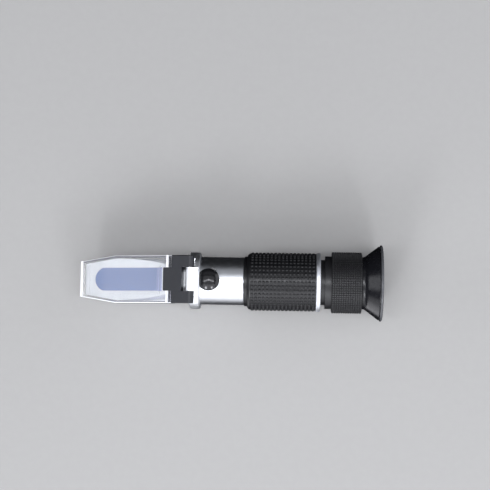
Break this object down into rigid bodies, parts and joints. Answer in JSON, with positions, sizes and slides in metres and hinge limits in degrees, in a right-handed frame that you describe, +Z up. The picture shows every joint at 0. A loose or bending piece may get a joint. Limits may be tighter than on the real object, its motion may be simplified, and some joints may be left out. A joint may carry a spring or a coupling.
{
  "type": "hand-held refractometer",
  "caption": "Hand-held prism refractometer with a hinged daylight plate, rubber grip, focusing eyepiece and flared eyecup, for reading the strength of a liquid sample.",
  "frame": {"origin": "on the optical axis at the middle of the rubber grip, where a hand holds it", "axes": "+X along the optical axis towards the eyecup, +Z up through the daylight plate, +Y to the side"},
  "size_m": [0.1589, 0.04, 0.04],
  "materials": {
    "satin_aluminium": "satin",
    "polished_barrel": "satin polished",
    "black_anodised": "matte black anodised",
    "plain_brass": "turned",
    "stainless": "plain",
    "optical_glass": "polished",
    "blue_bedding": "matte",
    "white_cement": "matte",
    "clear_acrylic": "clear",
    "dark_grey_plastic": "matte",
    "black_rubber": "soft sheen"
  },
  "bodies": {
    "barrel": {"prism_head": "satin_aluminium", "measuring_prism": "optical_glass", "prism_bed": "blue_bedding", "prism_seal": "white_cement", "aperture_stop": "black_anodised", "barrel_tube": "polished_barrel", "rubber_grip": "black_rubber", "grip_end_ring": "polished_barrel", "carriage_guide": "black_anodised", "guide_lock_ring": "black_anodised", "return_spring": "stainless", "eyepiece_tube": "black_anodised", "reticle": "optical_glass", "reticle_retainer": "black_anodised", "focus_o_ring": "black_rubber"},
    "lens_carriage": {"lens_carriage": "black_anodised", "bimetal_strip": "plain_brass", "strip_rivets": "plain_brass", "objective_cell": "black_anodised", "objective_crown": "optical_glass", "objective_flint": "optical_glass", "objective_retainer": "black_anodised"},
    "calibration_screw": {"calibration_screw": "stainless"},
    "calibration_cap": {"calibration_cap": "black_rubber"},
    "daylight_flap": {"daylight_plate": "clear_acrylic", "hinge_bracket": "dark_grey_plastic", "hinge_pin": "stainless"},
    "eyepiece_optics": {"lens_tube": "black_anodised", "focus_key_pin": "stainless", "field_lens": "optical_glass", "field_lens_retainer": "black_anodised", "eye_lens": "optical_glass", "eye_lens_retainer": "black_anodised", "focus_captive_ring": "black_anodised"},
    "focus_ring": {"focus_ring": "black_anodised", "focus_sleeve": "black_rubber", "eyecup": "black_rubber"}
  },
  "joints": [
    {"name": "daylight_plate_hinge", "type": "hinge", "parent": "barrel", "child": "daylight_flap", "pos_m": [-0.04688, 0, 0.01265], "axis": [0, 1, 0], "range_deg": [0, 120]},
    {"name": "calibration_cap_lift", "type": "slide", "parent": "barrel", "child": "calibration_cap", "axis": [0, 0, 1], "range_m": [0, 0.007]},
    {"name": "lens_carriage_slide", "type": "slide", "parent": "barrel", "child": "lens_carriage", "axis": [0, 0, 1], "range_m": [-0.00024, 0.00024], "deforming": ["return_spring"]},
    {"name": "calibration_screw_turn", "type": "hinge", "parent": "lens_carriage", "child": "calibration_screw", "pos_m": [-0.03712, 0, 0.0087], "axis": [0, 0, 1], "range_deg": [-173, 173]},
    {"name": "eyepiece_slide", "type": "slide", "parent": "barrel", "child": "eyepiece_optics", "axis": [1, 0, 0], "range_m": [-0.0018, 0.0018]},
    {"name": "focus_turn", "type": "hinge", "parent": "eyepiece_optics", "child": "focus_ring", "pos_m": [0.0335, 0, 0], "axis": [1, 0, 0], "range_deg": [-80, 80]}
  ],
  "couplings": [
    {"joint": "calibration_screw_turn", "follows": "lens_carriage_slide", "rad_per_m": 12566},
    {"joint": "eyepiece_slide", "follows": "focus_turn", "m_per_rad": 0.0012732}
  ]
}
